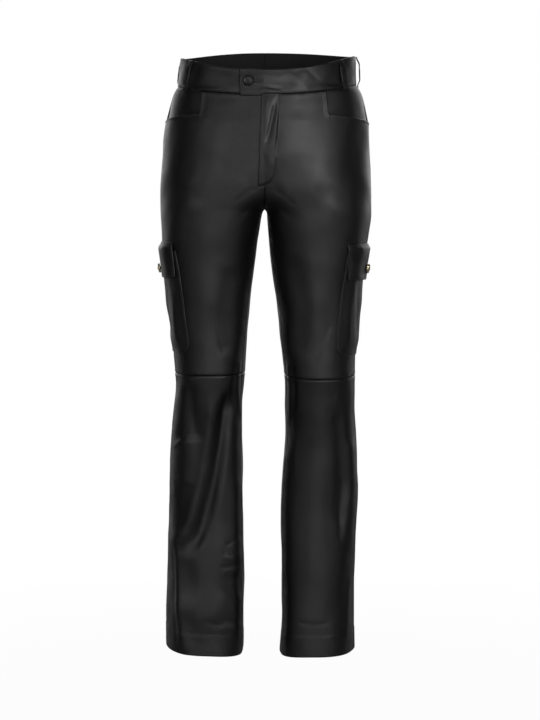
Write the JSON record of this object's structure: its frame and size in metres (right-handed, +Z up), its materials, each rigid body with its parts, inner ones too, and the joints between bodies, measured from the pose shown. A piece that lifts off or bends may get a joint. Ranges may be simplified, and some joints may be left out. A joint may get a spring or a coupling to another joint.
{
  "type": "leather trousers",
  "caption": "Flared black leather trousers in worn form, with western hip pockets, side patch pockets with buttoned flaps, knee seams and a buttoned waist tab.",
  "frame": {"origin": "middle of the waist opening, level with the top of the waistband at the sides", "axes": "+Z up along the legs towards the waist, +X towards the wearer's left, -Y towards the front"},
  "size_m": [0.4004, 0.2637, 1.1304],
  "materials": {
    "leather": "fine-grained black nappa, satin sheen",
    "button_metal": "pale cast metal, polished high spots and dark hollows",
    "button_black": "black, satin gloss"
  },
  "bodies": {
    "root": {"front_thigh_right": "leather", "front_thigh_left": "leather", "back_thigh_right": "leather", "back_thigh_left": "leather", "front_shin_right": "leather", "front_shin_left": "leather", "back_shin_right": "leather", "back_shin_left": "leather", "hip_facing_right": "leather", "hip_facing_left": "leather", "waistband_right": "leather", "waistband_left": "leather", "fly_placket": "leather", "cargo_bag_right": "leather", "cargo_bag_left": "leather", "cargo_flap_right": "leather", "cargo_flap_left": "leather", "flap_button_right": "button_metal", "flap_button_left": "button_metal", "belt_loop_front_right": "leather", "belt_loop_front_left": "leather", "belt_loop_side_right": "leather", "belt_loop_side_left": "leather", "belt_loop_back": "leather", "buttonhole_welt": "leather", "waist_button": "button_black"}
  },
  "joints": []
}
